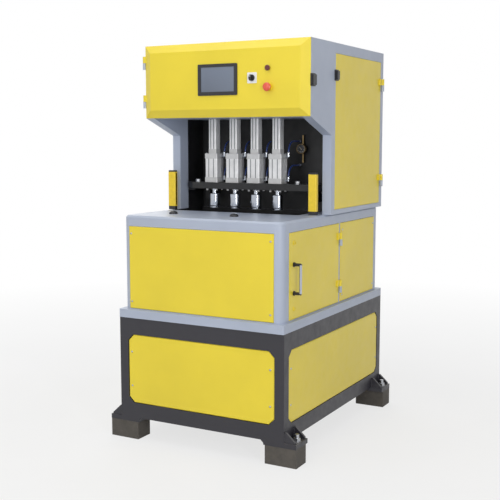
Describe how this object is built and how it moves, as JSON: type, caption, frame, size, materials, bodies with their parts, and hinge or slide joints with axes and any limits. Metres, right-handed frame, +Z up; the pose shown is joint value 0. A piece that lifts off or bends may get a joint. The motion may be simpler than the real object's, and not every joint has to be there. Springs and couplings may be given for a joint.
{
  "type": "stretch blow moulding machine",
  "caption": "Floor-standing semi-automatic stretch blow moulding machine: welded base, clamp housing with moulds, overhanging control head with blowing nozzles.",
  "frame": {"origin": "on the floor under the middle of the machine", "axes": "+Z up, the operator stands on the -Y side, +X is the operator's right"},
  "size_m": [1.024, 1.212, 1.928],
  "materials": {
    "yellow_paint": "gloss powder coat",
    "grey_paint": "gloss powder coat",
    "charcoal_paint": "satin paint",
    "block_paint": "matt paint",
    "black_metal": "satin black",
    "aluminium": "anodised",
    "steel": "ground",
    "chrome": "hard chrome",
    "galvanised": "zinc plated",
    "black_plastic": "moulded",
    "screen": "display",
    "dark_red": "signal lens",
    "red_plastic": "moulded",
    "yellow_plastic": "moulded"
  },
  "bodies": {
    "frame": {"base_frame": "charcoal_paint", "foot_plates": "charcoal_paint", "foot_blocks": "block_paint", "anchor_bolts": "galvanised", "base_panels": "yellow_paint", "rim_plate": "grey_paint", "clamp_housing": "grey_paint", "front_panel": "yellow_paint", "rear_panel": "yellow_paint", "rear_side_panels": "yellow_paint", "clamp_plates": "charcoal_paint", "tie_bars": "chrome", "clamp_cylinders": "aluminium", "side_frame_right": "grey_paint", "side_frame_left": "grey_paint", "head_shell": "grey_paint", "upper_rear_panel": "grey_paint", "work_liner": "black_metal", "control_panel": "black_plastic", "valve_manifold": "aluminium", "cross_plate": "black_metal", "light_curtains": "yellow_plastic", "curtain_caps": "black_plastic", "pressure_gauge": "chrome", "pipe_fittings": "chrome", "air_inlet": "galvanised", "stretch_cylinders": "aluminium", "seal_cylinder_1": "aluminium", "seal_cylinder_2": "aluminium", "seal_cylinder_3": "aluminium", "seal_cylinder_4": "aluminium"},
    "side_door_right": {"side_door_right": "yellow_paint", "door_handle_right": "chrome"},
    "side_door_left": {"side_door_left": "yellow_paint", "door_handle_left": "chrome"},
    "head_cover": {"head_cover": "yellow_paint", "hmi_bezel": "black_plastic", "hmi_screen": "screen", "switch_plate": "aluminium", "estop_collar": "yellow_plastic"},
    "switch_knob": {"switch_knob": "black_plastic"},
    "signal_button": {"signal_button": "dark_red"},
    "estop_button": {"estop_button": "red_plastic"},
    "upper_door_right": {"upper_door_right": "yellow_paint"},
    "upper_door_left": {"upper_door_left": "yellow_paint"},
    "cover_latch": {"cover_latch": "black_plastic"},
    "door_latch_right": {"door_latch_right": "black_plastic"},
    "door_latch_left": {"door_latch_left": "black_plastic"},
    "platen_front": {"platen_front": "steel", "mould_front": "aluminium"},
    "platen_rear": {"platen_rear": "steel", "mould_rear": "aluminium"},
    "nozzle_1": {"nozzle_1": "chrome"},
    "stretch_rod_1": {"stretch_rod_1": "chrome"},
    "nozzle_2": {"nozzle_2": "chrome"},
    "stretch_rod_2": {"stretch_rod_2": "chrome"},
    "nozzle_3": {"nozzle_3": "chrome"},
    "stretch_rod_3": {"stretch_rod_3": "chrome"},
    "nozzle_4": {"nozzle_4": "chrome"},
    "stretch_rod_4": {"stretch_rod_4": "chrome"}
  },
  "joints": [
    {"name": "side_door_right_hinge", "type": "hinge", "parent": "frame", "child": "side_door_right", "pos_m": [0.4405, 0.05, 0.85], "axis": [0, 0, 1], "range_deg": [0, 110]},
    {"name": "side_door_left_hinge", "type": "hinge", "parent": "frame", "child": "side_door_left", "pos_m": [-0.4405, 0.05, 0.85], "axis": [0, 0, -1], "range_deg": [0, 110]},
    {"name": "head_cover_hinge", "type": "hinge", "parent": "frame", "child": "head_cover", "pos_m": [-0.4615, -0.348, 1.75], "axis": [0, 0, -1], "range_deg": [0, 100]},
    {"name": "upper_door_right_hinge", "type": "hinge", "parent": "frame", "child": "upper_door_right", "pos_m": [0.4615, 0.548, 1.5], "axis": [0, 0, 1], "range_deg": [0, 110]},
    {"name": "upper_door_left_hinge", "type": "hinge", "parent": "frame", "child": "upper_door_left", "pos_m": [-0.4615, 0.548, 1.5], "axis": [0, 0, -1], "range_deg": [0, 110]},
    {"name": "cover_latch_turn", "type": "hinge", "parent": "frame", "child": "cover_latch", "pos_m": [0.459, -0.324, 1.739], "axis": [1, 0, 0], "range_deg": [0, 90]},
    {"name": "door_latch_right_turn", "type": "hinge", "parent": "upper_door_right", "child": "door_latch_right", "pos_m": [0.459, -0.052, 1.775], "axis": [1, 0, 0], "range_deg": [0, 90]},
    {"name": "door_latch_left_turn", "type": "hinge", "parent": "upper_door_left", "child": "door_latch_left", "pos_m": [-0.459, -0.052, 1.775], "axis": [1, 0, 0], "range_deg": [0, 90]},
    {"name": "switch_turn", "type": "hinge", "parent": "head_cover", "child": "switch_knob", "pos_m": [0.164, -0.373, 1.754], "axis": [0, -1, 0], "range_deg": [-45, 45]},
    {"name": "signal_button_press", "type": "slide", "parent": "head_cover", "child": "signal_button", "axis": [0, 1, 0], "range_m": [0, 0.003], "stiffness_N_per_m": 800},
    {"name": "estop_press", "type": "slide", "parent": "head_cover", "child": "estop_button", "axis": [0, 1, 0], "range_m": [0, 0.004]},
    {"name": "platen_front_slide", "type": "slide", "parent": "frame", "child": "platen_front", "axis": [0, -1, 0], "range_m": [0, 0.11]},
    {"name": "platen_rear_slide", "type": "slide", "parent": "frame", "child": "platen_rear", "axis": [0, 1, 0], "range_m": [0, 0.11]},
    {"name": "nozzle_1_slide", "type": "slide", "parent": "frame", "child": "nozzle_1", "axis": [0, 0, -1], "range_m": [0, 0.04]},
    {"name": "stretch_rod_1_slide", "type": "slide", "parent": "frame", "child": "stretch_rod_1", "axis": [0, 0, -1], "range_m": [0, 0.395]},
    {"name": "nozzle_2_slide", "type": "slide", "parent": "frame", "child": "nozzle_2", "axis": [0, 0, -1], "range_m": [0, 0.04]},
    {"name": "stretch_rod_2_slide", "type": "slide", "parent": "frame", "child": "stretch_rod_2", "axis": [0, 0, -1], "range_m": [0, 0.395]},
    {"name": "nozzle_3_slide", "type": "slide", "parent": "frame", "child": "nozzle_3", "axis": [0, 0, -1], "range_m": [0, 0.04]},
    {"name": "stretch_rod_3_slide", "type": "slide", "parent": "frame", "child": "stretch_rod_3", "axis": [0, 0, -1], "range_m": [0, 0.395]},
    {"name": "nozzle_4_slide", "type": "slide", "parent": "frame", "child": "nozzle_4", "axis": [0, 0, -1], "range_m": [0, 0.04]},
    {"name": "stretch_rod_4_slide", "type": "slide", "parent": "frame", "child": "stretch_rod_4", "axis": [0, 0, -1], "range_m": [0, 0.395]}
  ],
  "couplings": [
    {"joint": "platen_rear_slide", "follows": "platen_front_slide", "ratio": 1},
    {"joint": "nozzle_2_slide", "follows": "nozzle_1_slide", "ratio": 1},
    {"joint": "stretch_rod_2_slide", "follows": "stretch_rod_1_slide", "ratio": 1},
    {"joint": "nozzle_3_slide", "follows": "nozzle_1_slide", "ratio": 1},
    {"joint": "stretch_rod_3_slide", "follows": "stretch_rod_1_slide", "ratio": 1},
    {"joint": "nozzle_4_slide", "follows": "nozzle_1_slide", "ratio": 1},
    {"joint": "stretch_rod_4_slide", "follows": "stretch_rod_1_slide", "ratio": 1}
  ]
}
